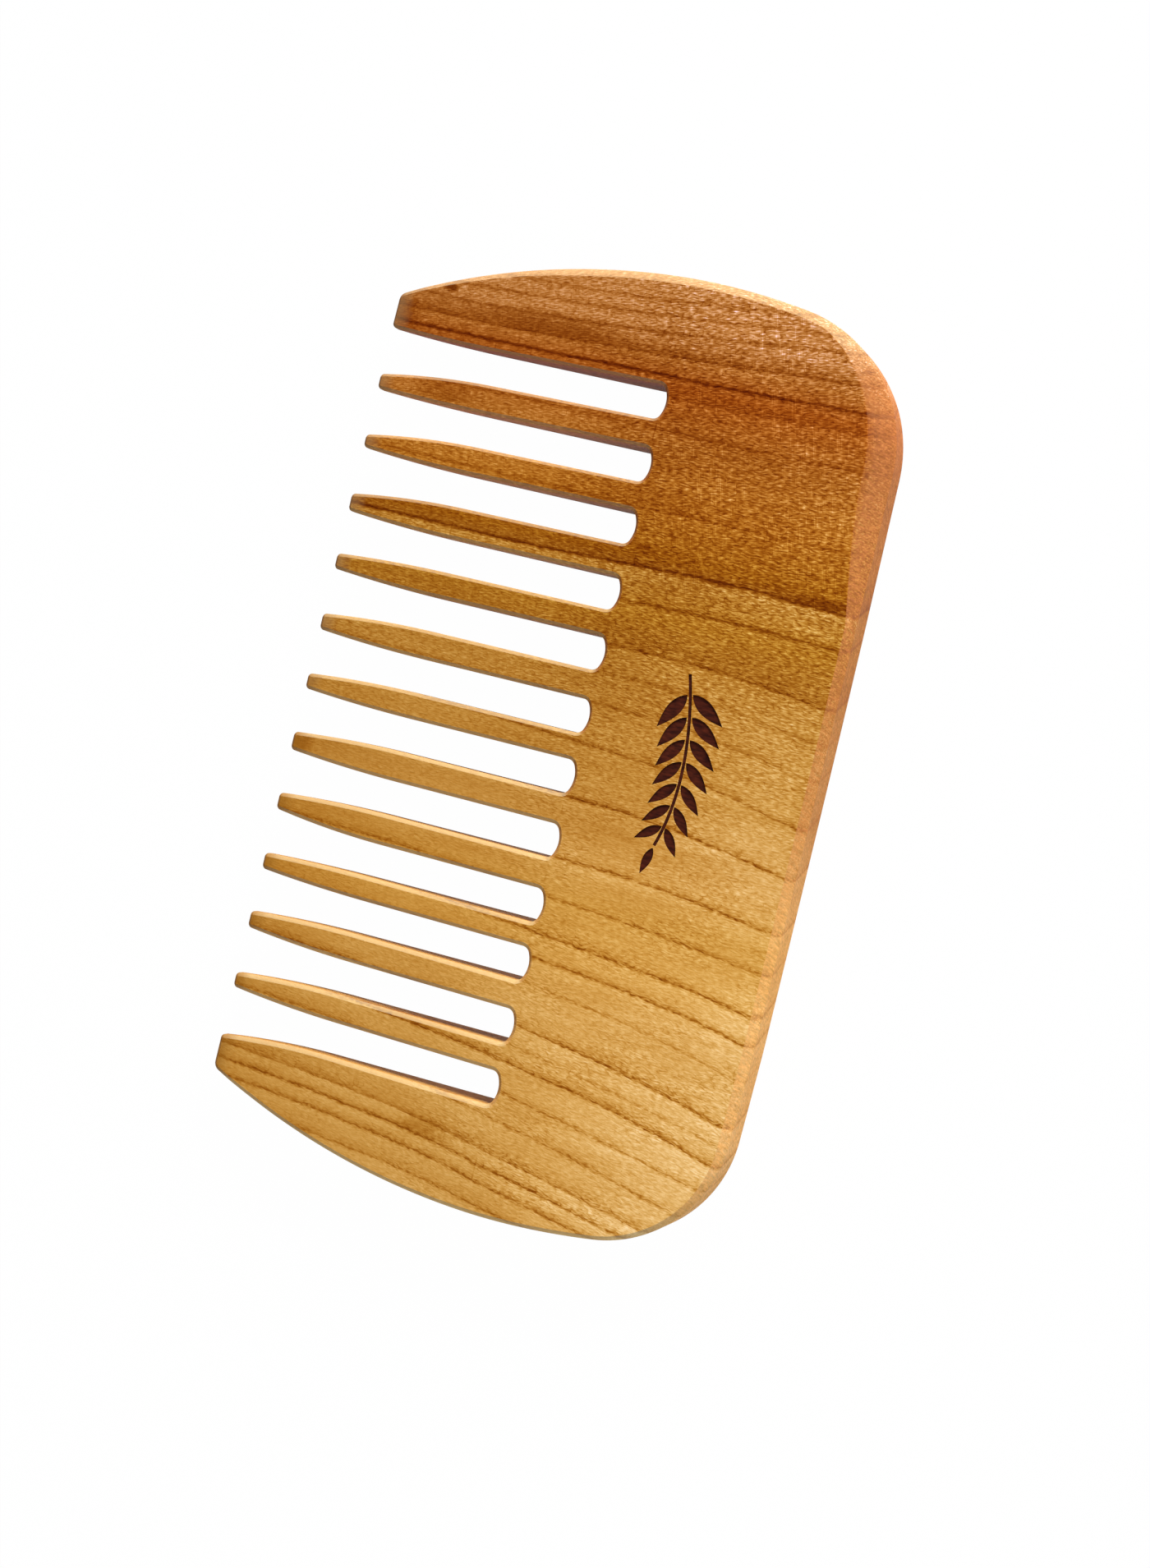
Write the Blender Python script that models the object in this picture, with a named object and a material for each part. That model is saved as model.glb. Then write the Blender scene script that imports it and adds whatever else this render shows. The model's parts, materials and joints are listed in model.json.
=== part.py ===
"""A wide-tooth hair comb cut from one board of fruitwood.

The comb lies flat. X runs along the spine, Y from the tooth tips to the spine and Z up through
the board. The origin is under the middle of the comb, on the surface that it lies on. The
outline is drawn with Y zero at the closed ends of the slots. All sizes are in metres.
"""

import math

import bmesh
import bpy

# Teeth and the slots between them
THIN_TOOTH_COUNT = 11
TOOTH_PITCH = 0.0090
TOOTH_LENGTH = 0.0439
TOOTH_ROOT_WIDTH = 0.0041
TOOTH_TIP_WIDTH = 0.0027
TOOTH_TAPER_LENGTH = 0.0170
TOOTH_CORNER_EXTRA = 0.0002
SLOT_CORNER_RADIUS = 0.0012
SLOT_END_BOW_RADIUS = 0.0040

# The broad guard teeth at both ends and the outer edge
GUARD_TIP_WIDTH = 0.0060
GUARD_CORNER_EXTRA = 0.0004
SIDE_BOW_RADIUS = 0.1016
SHOULDER_RADIUS = 0.0205
SPINE_BOW_RADIUS = 2.0
BACK_DEPTH = 0.0345

# Thickness of the board, and the wedge that thins it towards the tips
BACK_THICKNESS = 0.0090
TOOTH_END_THICKNESS = 0.0027
TIP_THICKNESS = 0.0020
TIP_GRIND_LENGTH = 0.0030
WEDGE_BLEND_TOP = 0.0080
WEDGE_BLEND_LENGTH = 0.0100

# Sanded edges, and the spot near the left shoulder where the sanding went deepest on both faces
SLOT_EDGE_ROUND = 0.0005
OUTER_EDGE_ROUND = 0.0013
WORN_EDGE_ROUND = 0.0034
WORN_REACH = 0.0350
WORN_CENTRE_SHARE = -0.76
EDGE_ROUND_LIMIT_SHARE = 0.6

# How finely the curves are divided
SIDE_STEPS = 12
SHOULDER_STEPS = 10
SPINE_STEPS = 8
CORNER_STEPS = 3
SLOT_END_STEPS = 2
TOOTH_TAPER_STEPS = 5
WEDGE_BLEND_STEPS = 3
EDGE_ROUND_SEGMENTS = 3

# Finish
WOOD_COLOUR = (0.46, 0.20, 0.055, 1.0)
WOOD_ROUGHNESS = 0.46
SHARP_ANGLE = math.radians(35)

# Sizes that follow from the ones above
SLOT_COUNT = THIN_TOOTH_COUNT + 1
SLOT_HALF_WIDTH = (TOOTH_PITCH - TOOTH_ROOT_WIDTH) / 2
TOOTH_DRAW_IN = (TOOTH_ROOT_WIDTH - TOOTH_TIP_WIDTH) / 2
TOOTH_CORNER_RADIUS = SLOT_EDGE_ROUND + TOOTH_CORNER_EXTRA
GUARD_CORNER_RADIUS = SLOT_EDGE_ROUND + GUARD_CORNER_EXTRA
SLOT_END_CENTRE = (0, -SLOT_END_BOW_RADIUS)
GUARD_INNER_X = (SLOT_COUNT - 1) * TOOTH_PITCH / 2 + SLOT_HALF_WIDTH
SIDE_SAG_AT_TIPS = SIDE_BOW_RADIUS - math.sqrt(SIDE_BOW_RADIUS**2 - TOOTH_LENGTH**2)
HALF_LENGTH = GUARD_INNER_X + GUARD_TIP_WIDTH + SIDE_SAG_AT_TIPS
SIDE_CENTRE = (HALF_LENGTH - SIDE_BOW_RADIUS, 0)
SPINE_CENTRE = (0, BACK_DEPTH - SPINE_BOW_RADIUS)
WEDGE_BLEND_END = WEDGE_BLEND_TOP - WEDGE_BLEND_LENGTH
GRIND_TOP = TIP_GRIND_LENGTH - TOOTH_LENGTH
QUARTER_TURN = math.pi / 2


def arc_points(centre, radius, start, end, steps):
    """Points along an arc, both of its ends included."""
    angles = [start + (end - start) * step / steps for step in range(steps + 1)]
    return [(centre[0] + radius * math.cos(a), centre[1] + radius * math.sin(a)) for a in angles]


def direction(start, end):
    """Angle at which one point lies from another."""
    return math.atan2(end[1] - start[1], end[0] - start[0])


def right_hand_meeting(centre_a, radius_a, centre_b, radius_b):
    """Where two circles meet on the comb's right half."""
    gap_x = centre_b[0] - centre_a[0]
    gap_y = centre_b[1] - centre_a[1]
    distance = math.hypot(gap_x, gap_y)
    along = (radius_a**2 - radius_b**2 + distance**2) / (2 * distance)
    across = math.sqrt(radius_a**2 - along**2)
    foot_x = centre_a[0] + along * gap_x / distance
    foot_y = centre_a[1] + along * gap_y / distance
    return (foot_x - across * gap_y / distance, foot_y + across * gap_x / distance)


def slot_end_points():
    """Half of a slot's bowed end with its corner, from the slot's side to its middle line."""
    corner_x = SLOT_HALF_WIDTH - SLOT_CORNER_RADIUS
    reach = SLOT_END_BOW_RADIUS - SLOT_CORNER_RADIUS
    corner = (corner_x, SLOT_END_CENTRE[1] + math.sqrt(reach**2 - corner_x**2))
    bow_start = direction(SLOT_END_CENTRE, corner)
    corner_arc = arc_points(corner, SLOT_CORNER_RADIUS, 0, bow_start, CORNER_STEPS)
    bow = arc_points(SLOT_END_CENTRE, SLOT_END_BOW_RADIUS, bow_start, QUARTER_TURN, SLOT_END_STEPS)
    return corner_arc + bow[1:]


def slot_side(beside_guard):
    """One side of a slot from tip to closed end, as distances from the slot's middle line."""
    radius = GUARD_CORNER_RADIUS if beside_guard else TOOTH_CORNER_RADIUS
    draw_in = 0 if beside_guard else TOOTH_DRAW_IN
    corner_y = radius - TOOTH_LENGTH
    tip_corner = (SLOT_HALF_WIDTH + draw_in + radius, corner_y)
    points = arc_points(tip_corner, radius, -QUARTER_TURN, -2 * QUARTER_TURN, CORNER_STEPS)
    if not beside_guard:
        taper_top = TOOTH_TAPER_LENGTH - TOOTH_LENGTH
        for step in range(1, TOOTH_TAPER_STEPS + 1):
            done = step / TOOTH_TAPER_STEPS
            y = corner_y + (taper_top - corner_y) * done
            points.append((SLOT_HALF_WIDTH + draw_in * (1 - done) ** 2, y))
    return points + slot_end_points()


def slot_run(slot):
    """Outline of one slot: up its left side, over its closed end and down its right side."""
    middle = (slot - (SLOT_COUNT - 1) / 2) * TOOTH_PITCH
    left = slot_side(beside_guard=slot == 0)
    right = slot_side(beside_guard=slot == SLOT_COUNT - 1)
    return [(middle - x, y) for x, y in left] + [(middle + x, y) for x, y in reversed(right[:-1])]


def outer_run():
    """Outline round the outside, from the right guard's tip over the spine to the left one's."""
    radius = GUARD_CORNER_RADIUS
    corner_y = radius - TOOTH_LENGTH
    corner_x = SIDE_CENTRE[0] + math.sqrt((SIDE_BOW_RADIUS - radius) ** 2 - corner_y**2)
    corner = (corner_x, corner_y)
    shoulder = right_hand_meeting(
        SIDE_CENTRE, SIDE_BOW_RADIUS - SHOULDER_RADIUS, SPINE_CENTRE, SPINE_BOW_RADIUS - SHOULDER_RADIUS
    )
    side_start = direction(SIDE_CENTRE, corner)
    side_end = direction(SIDE_CENTRE, shoulder)
    spine_start = direction(SPINE_CENTRE, shoulder)
    half = arc_points(corner, radius, -QUARTER_TURN, side_start, CORNER_STEPS)
    half += arc_points(SIDE_CENTRE, SIDE_BOW_RADIUS, side_start, side_end, SIDE_STEPS)[1:]
    half += arc_points(shoulder, SHOULDER_RADIUS, side_end, spine_start, SHOULDER_STEPS)[1:]
    spine_end = 2 * QUARTER_TURN - spine_start
    spine = arc_points(SPINE_CENTRE, SPINE_BOW_RADIUS, spine_start, spine_end, SPINE_STEPS)
    return half + spine[1:-1] + [(-x, y) for x, y in reversed(half)]


def half_thickness(y):
    """Half the board's thickness: level at the back, a blend, a straight wedge, the ground tips."""
    back = BACK_THICKNESS / 2
    end = TOOTH_END_THICKNESS / 2
    slope = (back - end) / (WEDGE_BLEND_LENGTH / 2 + WEDGE_BLEND_END - GRIND_TOP)
    if y >= WEDGE_BLEND_TOP:
        return back
    if y >= WEDGE_BLEND_END:
        return back - slope * (WEDGE_BLEND_TOP - y) ** 2 / (2 * WEDGE_BLEND_LENGTH)
    if y >= GRIND_TOP:
        return end + slope * (y - GRIND_TOP)
    return end - (TOOTH_END_THICKNESS - TIP_THICKNESS) / 2 * (GRIND_TOP - y) / TIP_GRIND_LENGTH


def edge_round(x, y, plain_round):
    """How far the edge is rounded at a place on the outline."""
    rounding = min(plain_round, EDGE_ROUND_LIMIT_SHARE * half_thickness(y))
    if y > 0:
        away = math.hypot(x - WORN_CENTRE_SHARE * HALF_LENGTH, y - BACK_DEPTH) / WORN_REACH
        rounding += (WORN_EDGE_ROUND - OUTER_EDGE_ROUND) * max(0, 1 - away**2)
    return rounding


def add_board(bm):
    """Extrude the outline to a level board, and note on each wall how its edges are rounded."""
    plain_round = bm.faces.layers.float.new("plain_round")
    outline = [(x, y, SLOT_EDGE_ROUND) for slot in range(SLOT_COUNT) for x, y in slot_run(slot)]
    outline += [(x, y, OUTER_EDGE_ROUND) for x, y in outer_run()]
    bottom = [bm.verts.new((x, y, 0)) for x, y, _ in outline]
    top = [bm.verts.new((x, y, BACK_THICKNESS)) for x, y, _ in outline]
    for index, (_, _, rounding) in enumerate(outline):
        after = (index + 1) % len(outline)
        wall = bm.faces.new((bottom[index], bottom[after], top[after], top[index]))
        wall[plain_round] = rounding
    bm.faces.new(top)
    bm.faces.new(reversed(bottom))


def plane_to_wedge(bm):
    """Cut the faces where the wedge bends, then bring every corner to its height there."""
    shares = [step / WEDGE_BLEND_STEPS for step in range(WEDGE_BLEND_STEPS + 1)]
    for y in [WEDGE_BLEND_TOP - WEDGE_BLEND_LENGTH * share for share in shares] + [GRIND_TOP]:
        everything = bm.verts[:] + bm.edges[:] + bm.faces[:]
        bmesh.ops.bisect_plane(bm, geom=everything, plane_co=(0, y, 0), plane_no=(0, 1, 0))
    middle = BACK_THICKNESS / 2
    for vert in bm.verts:
        side = 1 if vert.co.z > middle else -1
        vert.co.z = middle + side * half_thickness(vert.co.y)


def mark_edges_to_round(bm):
    """Give each edge between a wall and a flat face its share of the widest rounding."""
    plain_round = bm.faces.layers.float["plain_round"]
    weight = bm.edges.layers.float.new("bevel_weight_edge")
    for edge in bm.edges:
        rounds = [face[plain_round] for face in edge.link_faces]
        if min(rounds) == 0 and max(rounds) > 0:
            place = (edge.verts[0].co + edge.verts[1].co) / 2
            edge[weight] = edge_round(place.x, place.y, max(rounds)) / WORN_EDGE_ROUND


def wood_material():
    """Oiled fruitwood."""
    material = bpy.data.materials.new("fruitwood")
    material.use_nodes = True
    shader = material.node_tree.nodes["Principled BSDF"]
    shader.inputs["Base Color"].default_value = WOOD_COLOUR
    shader.inputs["Roughness"].default_value = WOOD_ROUGHNESS
    shader.inputs["Metallic"].default_value = 0
    return material


def make_comb():
    """The whole comb, which is one piece of wood."""
    bm = bmesh.new()
    add_board(bm)
    plane_to_wedge(bm)
    mark_edges_to_round(bm)
    mesh = bpy.data.meshes.new("comb_body")
    bm.to_mesh(mesh)
    bm.free()
    mesh.shade_smooth()
    mesh.set_sharp_from_angle(angle=SHARP_ANGLE)
    mesh.materials.append(wood_material())
    comb = bpy.data.objects.new("comb_body", mesh)
    bpy.context.scene.collection.objects.link(comb)
    comb.location.y = (TOOTH_LENGTH - BACK_DEPTH) / 2
    bevel = comb.modifiers.new("sanded_edges", "BEVEL")
    bevel.limit_method = "WEIGHT"
    bevel.width = WORN_EDGE_ROUND
    bevel.segments = EDGE_ROUND_SEGMENTS
    bevel.use_clamp_overlap = False
    return comb


for old in list(bpy.data.objects):
    bpy.data.objects.remove(old)
make_comb()
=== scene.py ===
# %% [markdown]
# # A wide-tooth wooden comb
#
# The comb is cut from one board of oiled fruitwood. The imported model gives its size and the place
# of every slot. This script cuts the same comb again with a finer edge, burns an ornament into
# its back, and gives it wood grain, light and a camera.

import json
import math

import bmesh
import bpy
from mathutils import Matrix, Vector

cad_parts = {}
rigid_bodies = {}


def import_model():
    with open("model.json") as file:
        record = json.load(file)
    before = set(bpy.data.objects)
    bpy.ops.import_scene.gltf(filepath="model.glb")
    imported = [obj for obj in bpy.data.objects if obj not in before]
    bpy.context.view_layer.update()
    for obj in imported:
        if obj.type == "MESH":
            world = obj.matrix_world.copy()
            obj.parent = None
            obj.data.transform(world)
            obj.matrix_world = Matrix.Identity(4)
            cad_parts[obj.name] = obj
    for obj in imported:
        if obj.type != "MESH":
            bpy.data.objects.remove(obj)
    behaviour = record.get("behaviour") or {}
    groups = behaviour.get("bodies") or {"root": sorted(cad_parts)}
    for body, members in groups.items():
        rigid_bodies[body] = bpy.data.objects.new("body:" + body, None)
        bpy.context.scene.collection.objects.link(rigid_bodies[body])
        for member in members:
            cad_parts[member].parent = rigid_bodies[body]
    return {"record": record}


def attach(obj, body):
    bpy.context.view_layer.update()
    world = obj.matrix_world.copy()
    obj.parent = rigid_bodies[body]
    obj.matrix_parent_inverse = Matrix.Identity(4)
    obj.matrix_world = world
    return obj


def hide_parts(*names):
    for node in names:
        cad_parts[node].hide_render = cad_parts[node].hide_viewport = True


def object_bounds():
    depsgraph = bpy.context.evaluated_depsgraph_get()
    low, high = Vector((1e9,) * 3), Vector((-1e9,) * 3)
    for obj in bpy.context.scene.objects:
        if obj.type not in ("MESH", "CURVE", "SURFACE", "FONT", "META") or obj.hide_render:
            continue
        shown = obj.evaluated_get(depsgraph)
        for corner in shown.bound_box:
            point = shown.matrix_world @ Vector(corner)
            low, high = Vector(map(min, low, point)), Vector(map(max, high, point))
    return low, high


for old in list(bpy.data.objects):
    bpy.data.objects.remove(old)
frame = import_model()
cad_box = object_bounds()
MM = 0.001
print("packed comb, in mm:", [[round(value / MM, 1) for value in corner] for corner in cad_box])

# %% [markdown]
# ## One way to write nodes
#
# Both the shapes and the wood are made with nodes. A node tree drawn by hand is hard to read in a
# script, so a small class wraps each output. Plain sums on it add Math nodes, and one method adds
# any other node.

# %% Wires that take part in sums
class Wire:
    """The output of a node. A sum on wires adds Math nodes to the tree that they run in."""

    def __init__(self, bench, socket):
        self.bench = bench
        self.socket = socket

    def math(self, operation, *values):
        return self.bench.node("ShaderNodeMath", {"operation": operation}, dict(enumerate(values)))

    def __add__(self, other):
        return self.math("ADD", self, other)

    def __radd__(self, other):
        return self.math("ADD", other, self)

    def __sub__(self, other):
        return self.math("SUBTRACT", self, other)

    def __rsub__(self, other):
        return self.math("SUBTRACT", other, self)

    def __mul__(self, other):
        return self.math("MULTIPLY", self, other)

    def __rmul__(self, other):
        return self.math("MULTIPLY", other, self)

    def __truediv__(self, other):
        return self.math("DIVIDE", self, other)

    def __pow__(self, other):
        return self.math("POWER", self, other)

    def __lt__(self, other):
        return self.math("LESS_THAN", self, other)

    def __gt__(self, other):
        return self.math("GREATER_THAN", self, other)


class Bench:
    """A node tree that is being built."""

    def __init__(self, tree):
        self.tree = tree

    def node(self, kind, settings=None, inputs=None, output=0):
        """Add a node: its settings first, then a value or a wire for each named or numbered socket."""
        node = self.tree.nodes.new(kind)
        for name, value in (settings or {}).items():
            if name == "stops":
                set_stops(node.color_ramp, value)
            else:
                setattr(node, name, value)
        for name, value in (inputs or {}).items():
            if isinstance(value, Wire):
                self.tree.links.new(value.socket, node.inputs[name])
            else:
                node.inputs[name].default_value = value
        return Wire(self, node.outputs[output]) if node.outputs else node


def set_stops(ramp, stops):
    """Give a colour ramp its stops, each a place and a colour."""
    while len(ramp.elements) > 1:
        ramp.elements.remove(ramp.elements[-1])
    ramp.elements[0].position = stops[0][0]
    ramp.elements[0].color = (*stops[0][1], 1)
    for place, colour in stops[1:]:
        ramp.elements.new(place).color = (*colour, 1)


# %% [markdown]
# ## The board
#
# A comb maker draws the comb's outline on a board and saws along it. The sides and the spine are
# shallow arcs, joined by rounder shoulders. The outline could be a Bezier curve shaped by eye.
# Arcs of known radius are used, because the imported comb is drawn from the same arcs. The real
# comb is sanded by hand, so each end has sizes of its own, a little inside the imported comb.

# %% Sizes of the outline
TIP_Y = cad_box[0][1]
SPINE_Y = cad_box[1][1]
HALF_LENGTH = cad_box[1][0]
TOOTH_LENGTH = 43.9 * MM
SLOT_END_Y = TIP_Y + TOOTH_LENGTH
SPINE_BOW_RADIUS = 2000 * MM
SPINE_CENTRE = (0, SPINE_Y - SPINE_BOW_RADIUS)
GUARD_CORNER_RADIUS = 1.3 * MM
RIGHT_END = {"sanded": 0.6 * MM, "side radius": 110 * MM, "shoulder radius": 18.6 * MM}
LEFT_END = {"sanded": 0.45 * MM, "side radius": 102.6 * MM, "shoulder radius": 20.5 * MM}
SPINE_WEAR = 0.45 * MM
HOLLOW_DEPTH = 0.35 * MM
HOLLOW_X = -10 * MM
HOLLOW_REACH = 45 * MM
ARC_STEP = 0.8 * MM
FEWEST_ARC_STEPS = 6
QUARTER_TURN = math.pi / 2
print("tooth length, in mm:", round(TOOTH_LENGTH / MM, 1))


# %% Arcs and where they meet
def arc(centre, radius, start, end):
    """Points along an arc, both of its ends included, about one arc step apart."""
    steps = max(FEWEST_ARC_STEPS, round(abs(end - start) * radius / ARC_STEP))
    angles = [start + (end - start) * step / steps for step in range(steps + 1)]
    return [(centre[0] + radius * math.cos(a), centre[1] + radius * math.sin(a)) for a in angles]


def direction(start, end):
    """Angle at which one point lies from another."""
    return math.atan2(end[1] - start[1], end[0] - start[0])


def right_hand_meeting(centre_a, radius_a, centre_b, radius_b):
    """Where two circles meet on the comb's right half."""
    gap = Vector(centre_b) - Vector(centre_a)
    along = (radius_a**2 - radius_b**2 + gap.length**2) / (2 * gap.length)
    across = math.sqrt(radius_a**2 - along**2)
    ahead = gap.normalized()
    foot = Vector(centre_a) + along * ahead
    return (foot.x - across * ahead.y, foot.y + across * ahead.x)


def half_outline(end):
    """Half of the board's outline, from a guard tooth's tip up its side to the spine."""
    side_radius = end["side radius"]
    shoulder_radius = end["shoulder radius"]
    side_centre = (HALF_LENGTH - end["sanded"] - side_radius, SLOT_END_Y)
    corner_y = TIP_Y + GUARD_CORNER_RADIUS
    inner_radius = side_radius - GUARD_CORNER_RADIUS
    corner_x = side_centre[0] + math.sqrt(inner_radius**2 - (corner_y - side_centre[1]) ** 2)
    corner = (corner_x, corner_y)
    shoulder = right_hand_meeting(
        side_centre, side_radius - shoulder_radius, SPINE_CENTRE, SPINE_BOW_RADIUS - shoulder_radius
    )
    side_start = direction(side_centre, corner)
    side_end = direction(side_centre, shoulder)
    spine_start = direction(SPINE_CENTRE, shoulder)
    points = arc(corner, GUARD_CORNER_RADIUS, -QUARTER_TURN, side_start)
    points += arc(side_centre, side_radius, side_start, side_end)[1:]
    points += arc(shoulder, shoulder_radius, side_end, spine_start)[1:]
    return points + arc(SPINE_CENTRE, SPINE_BOW_RADIUS, spine_start, QUARTER_TURN)[1:]


def worn(x, y):
    """The point, lowered where the spine is sanded: towards its left end and near its middle."""
    up_the_back = max(0, (y - SLOT_END_Y) / (SPINE_Y - SLOT_END_Y))
    towards_left = (HALF_LENGTH - x) / (2 * HALF_LENGTH)
    near_middle = max(0, 1 - ((x - HOLLOW_X) / HOLLOW_REACH) ** 2)
    lowered = SPINE_WEAR * towards_left + HOLLOW_DEPTH * near_middle
    return (x, y - lowered * up_the_back)


# %% A flat face from an outline
fruitwood = bpy.data.materials.new("oiled_fruitwood")
burnt_wood = bpy.data.materials.new("burnt_wood")


def flat_face(name, points):
    """A mesh of wood with one flat face, whose corners are the points in order."""
    mesh = bpy.data.meshes.new(name)
    mesh.from_pydata(points, [], [range(len(points))])
    mesh.materials.append(fruitwood)
    piece = bpy.data.objects.new(name, mesh)
    bpy.context.scene.collection.objects.link(piece)
    return piece


CUT_MARGIN = 2 * MM
left_half = [(-x, y) for x, y in half_outline(LEFT_END)]
drawn_outline = half_outline(RIGHT_END) + left_half[-2::-1]
board_outline = [worn(x, y) for x, y in drawn_outline]
comb = flat_face("comb_wood", [(x, y, 0) for x, y in board_outline])
print("outline points:", len(board_outline))

# %% [markdown]
# ## The slots
#
# The slots between the teeth are all alike, so one is drawn and the others are copies. The packed
# record says where each slot is. A slot has straight sides and a slightly bowed end. Its mouth is
# rounded, which rounds the corners of the tooth tips.

# %% One slot, drawn round its own middle line
slot_boxes = [opening["box_m"] for opening in frame["record"]["physics"]["openings"]]
slot_middles = [(low[0] + high[0]) / 2 for low, high in slot_boxes]
TOOTH_PITCH = slot_middles[1] - slot_middles[0]
TOOTH_ROOT_WIDTH = 4.1 * MM
TOOTH_TAPER_LENGTH = 17 * MM
TOOTH_CORNER_RADIUS = 0.7 * MM
SLOT_CORNER_RADIUS = 1.2 * MM
SLOT_END_BOW_RADIUS = 4 * MM
SLOT_HALF_WIDTH = (TOOTH_PITCH - TOOTH_ROOT_WIDTH) / 2
TAPER_STEPS = 16
print("slots:", len(slot_middles), "pitch, in mm:", round(TOOTH_PITCH / MM, 2))


def half_slot():
    """Half of a slot's outline, from below the tips to the middle of its closed end."""
    mouth_x = SLOT_HALF_WIDTH + TOOTH_CORNER_RADIUS
    mouth_y = TOOTH_CORNER_RADIUS - TOOTH_LENGTH
    mouth = arc((mouth_x, mouth_y), TOOTH_CORNER_RADIUS, -QUARTER_TURN, -2 * QUARTER_TURN)
    steps = range(1, TAPER_STEPS + 1)
    taper = [(SLOT_HALF_WIDTH, mouth_y + TOOTH_TAPER_LENGTH * n / TAPER_STEPS) for n in steps]
    corner_x = SLOT_HALF_WIDTH - SLOT_CORNER_RADIUS
    reach = SLOT_END_BOW_RADIUS - SLOT_CORNER_RADIUS
    corner = (corner_x, math.sqrt(reach**2 - corner_x**2) - SLOT_END_BOW_RADIUS)
    bow_centre = (0, -SLOT_END_BOW_RADIUS)
    bow_start = direction(bow_centre, corner)
    end = arc(corner, SLOT_CORNER_RADIUS, 0, bow_start)
    bow = arc(bow_centre, SLOT_END_BOW_RADIUS, bow_start, QUARTER_TURN)
    return [(mouth_x, -TOOTH_LENGTH - CUT_MARGIN)] + mouth + taper + end + bow[1:]


right_side = half_slot()
slot_points = right_side + [(-x, y) for x, y in reversed(right_side[:-1])]
slot_outline = flat_face("slot_outline", [(x, y, 0) for x, y in slot_points])

# %% [markdown]
# The teeth were sanded to points one by one. No two slots are quite alike, so each place carries
# how far the slot has drifted, and how much wood is gone from its two walls at the tips.

# %% The place of every slot
SLOT_DRIFT_MM = (-0.08, -0.06, -0.14, 0.33, 0, 0.07, -0.19, 0.07, 0.41, -0.15, -0.12, -0.13)
LEFT_WALL_SANDED_MM = (0.6, 0.5, 0.7, 0.7, 0.7, 0.7, 0.6, 0.7, 1.1, 0.6, 0.8, 0.8)
RIGHT_WALL_SANDED_MM = (1.3, 1.3, 1.2, 0.7, 1, 0.9, 0.9, 0.8, 0.5, 0.8, 1, 1.3)
places_mesh = bpy.data.meshes.new("slot_places")
places = [(x + drift * MM, SLOT_END_Y, -CUT_MARGIN) for x, drift in zip(slot_middles, SLOT_DRIFT_MM)]
places_mesh.from_pydata(places, [], [])
for side, amounts in (("left", LEFT_WALL_SANDED_MM), ("right", RIGHT_WALL_SANDED_MM)):
    sanded = places_mesh.attributes.new("sanded_" + side, "FLOAT", "POINT")
    sanded.data.foreach_set("value", [amount * MM for amount in amounts])
slot_places = bpy.data.objects.new("slot_places", places_mesh)
bpy.context.scene.collection.objects.link(slot_places)
print("slots that are moved and widened:", len(places))

# %% [markdown]
# ## Sawing the comb
#
# Geometry Nodes do the sawing. The outline becomes a thick board. One slot is copied to each place,
# a rule pushes its sides apart near the tips, which tapers the teeth, and all the slots are cut out.

# %% Helpers for a geometry tree
MERGE_DISTANCE = 0.001 * MM
SHORTEST_EDGE = 0.15 * MM


def new_geometry_tree(name, extra_inputs):
    """A geometry tree, its bench, its incoming mesh and a wire for each extra named input."""
    tree = bpy.data.node_groups.new(name, "GeometryNodeTree")
    tree.interface.new_socket(name="Geometry", in_out="INPUT", socket_type="NodeSocketGeometry")
    for label, kind in extra_inputs.items():
        tree.interface.new_socket(name=label, in_out="INPUT", socket_type=kind)
    tree.interface.new_socket(name="Geometry", in_out="OUTPUT", socket_type="NodeSocketGeometry")
    bench = Bench(tree)
    entry = tree.nodes.new("NodeGroupInput")
    return tree, bench, {socket.name: Wire(bench, socket) for socket in entry.outputs if socket.name}


def use_tree(piece, tree, values):
    """Add the tree to the piece as a modifier, with its inputs set by their identifiers."""
    modifier = piece.modifiers.new(tree.name, "NODES")
    modifier.node_group = tree
    for item in tree.interface.items_tree:
        if item.in_out == "INPUT" and item.name in values:
            modifier[item.identifier] = values[item.name]
    return modifier


def joined(bench, *parts):
    """All the parts as one geometry."""
    join = bench.tree.nodes.new("GeometryNodeJoinGeometry")
    for part in parts:
        bench.tree.links.new(part.socket, join.inputs[0])
    return Wire(bench, join.outputs[0])


def weld(bench, geometry, distance):
    """The geometry with points nearer than the distance made one."""
    inputs = {"Geometry": geometry, "Distance": distance}
    return bench.node("GeometryNodeMergeByDistance", None, inputs)


def boolean(bench, operation, first, second):
    """Two solids cut with the exact solver, or what they have in common."""
    node = bench.tree.nodes.new("GeometryNodeMeshBoolean")
    node.operation = operation
    node.solver = "EXACT"
    first_input = "Mesh 2" if operation == "INTERSECT" else "Mesh 1"
    bench.tree.links.new(first.socket, node.inputs[first_input])
    bench.tree.links.new(second.socket, node.inputs["Mesh 2"])
    return Wire(bench, node.outputs[0])


def prism(bench, face, height):
    """A closed solid that grows from a flat face by the height, along the face's normal."""
    growth = {"Mesh": face, "Offset Scale": height, "Individual": False}
    grown = bench.node("GeometryNodeExtrudeMesh", {"mode": "FACES"}, growth)
    start = bench.node("GeometryNodeFlipFaces", None, {"Mesh": face})
    return weld(bench, joined(bench, grown, start), MERGE_DISTANCE)


def object_mesh(bench, guide):
    """The mesh of a guide object."""
    return bench.node("GeometryNodeObjectInfo", None, {"Object": guide}, "Geometry")


def remember(bench, geometry, name, value):
    """Store a value on the geometry's points under a name."""
    settings = {"data_type": "FLOAT", "domain": "POINT"}
    inputs = {"Geometry": geometry, "Name": name, "Value": value}
    return bench.node("GeometryNodeStoreNamedAttribute", settings, inputs)


def recall(bench, name):
    """A value that was stored under a name."""
    return bench.node("GeometryNodeInputNamedAttribute", {"data_type": "FLOAT"}, {"Name": name})


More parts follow.
